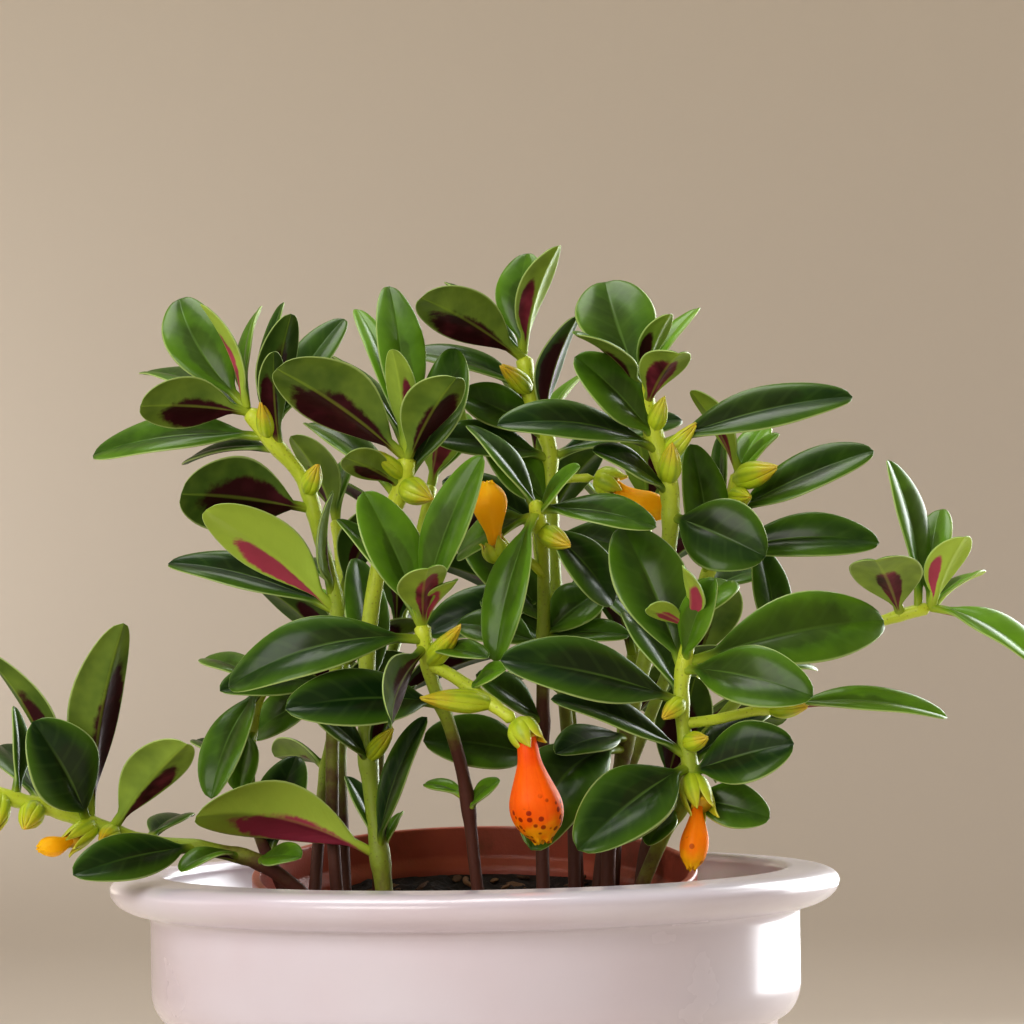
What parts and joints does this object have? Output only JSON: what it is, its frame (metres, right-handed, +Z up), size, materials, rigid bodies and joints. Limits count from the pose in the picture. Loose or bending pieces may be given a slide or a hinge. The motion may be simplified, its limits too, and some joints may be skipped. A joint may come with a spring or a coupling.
{
  "type": "goldfish plant in a pot",
  "caption": "Goldfish plant with glossy oval leaves, leaning and trailing shoots and orange pouch blooms, in a brown nursery pot standing in a white glazed lipped pot.",
  "frame": {"origin": "centre of the glazed pot's flat base, on the surface it stands on", "axes": "+Z up, front towards -Y, +X to the right when seen from the front"},
  "size_m": [0.2482, 0.16, 0.2568],
  "materials": {
    "white_glaze": "glossy white glaze with a faint warm pink tone",
    "brown_plastic": "thin red-brown nursery pot plastic, half gloss",
    "potting_soil": "dark crumbly potting soil with bits of bark",
    "goldfish_foliage": "thick glossy deep green leaves, yellow-green stems and buds",
    "orange_bloom": "satin orange, paling to yellow at the mouth"
  },
  "bodies": {
    "root": {"bloom_behind": "orange_bloom", "bloom_centre": "orange_bloom", "bloom_front": "orange_bloom", "bloom_low_right": "orange_bloom", "bloom_trail": "orange_bloom", "cachepot": "white_glaze", "nursery_pot": "brown_plastic", "shoot_back_1": "goldfish_foliage", "shoot_back_2": "goldfish_foliage", "shoot_back_3": "goldfish_foliage", "shoot_back_4": "goldfish_foliage", "shoot_back_5": "goldfish_foliage", "shoot_back_6": "goldfish_foliage", "shoot_centre": "goldfish_foliage", "shoot_crown": "goldfish_foliage", "shoot_crown_left": "goldfish_foliage", "shoot_crown_right": "goldfish_foliage", "shoot_front_left": "goldfish_foliage", "shoot_front_right": "goldfish_foliage", "shoot_low_left": "goldfish_foliage", "shoot_right": "goldfish_foliage", "shoot_trail_left": "goldfish_foliage", "shoot_trail_right": "goldfish_foliage", "shoot_upper_left": "goldfish_foliage", "soil": "potting_soil"}
  },
  "joints": []
}
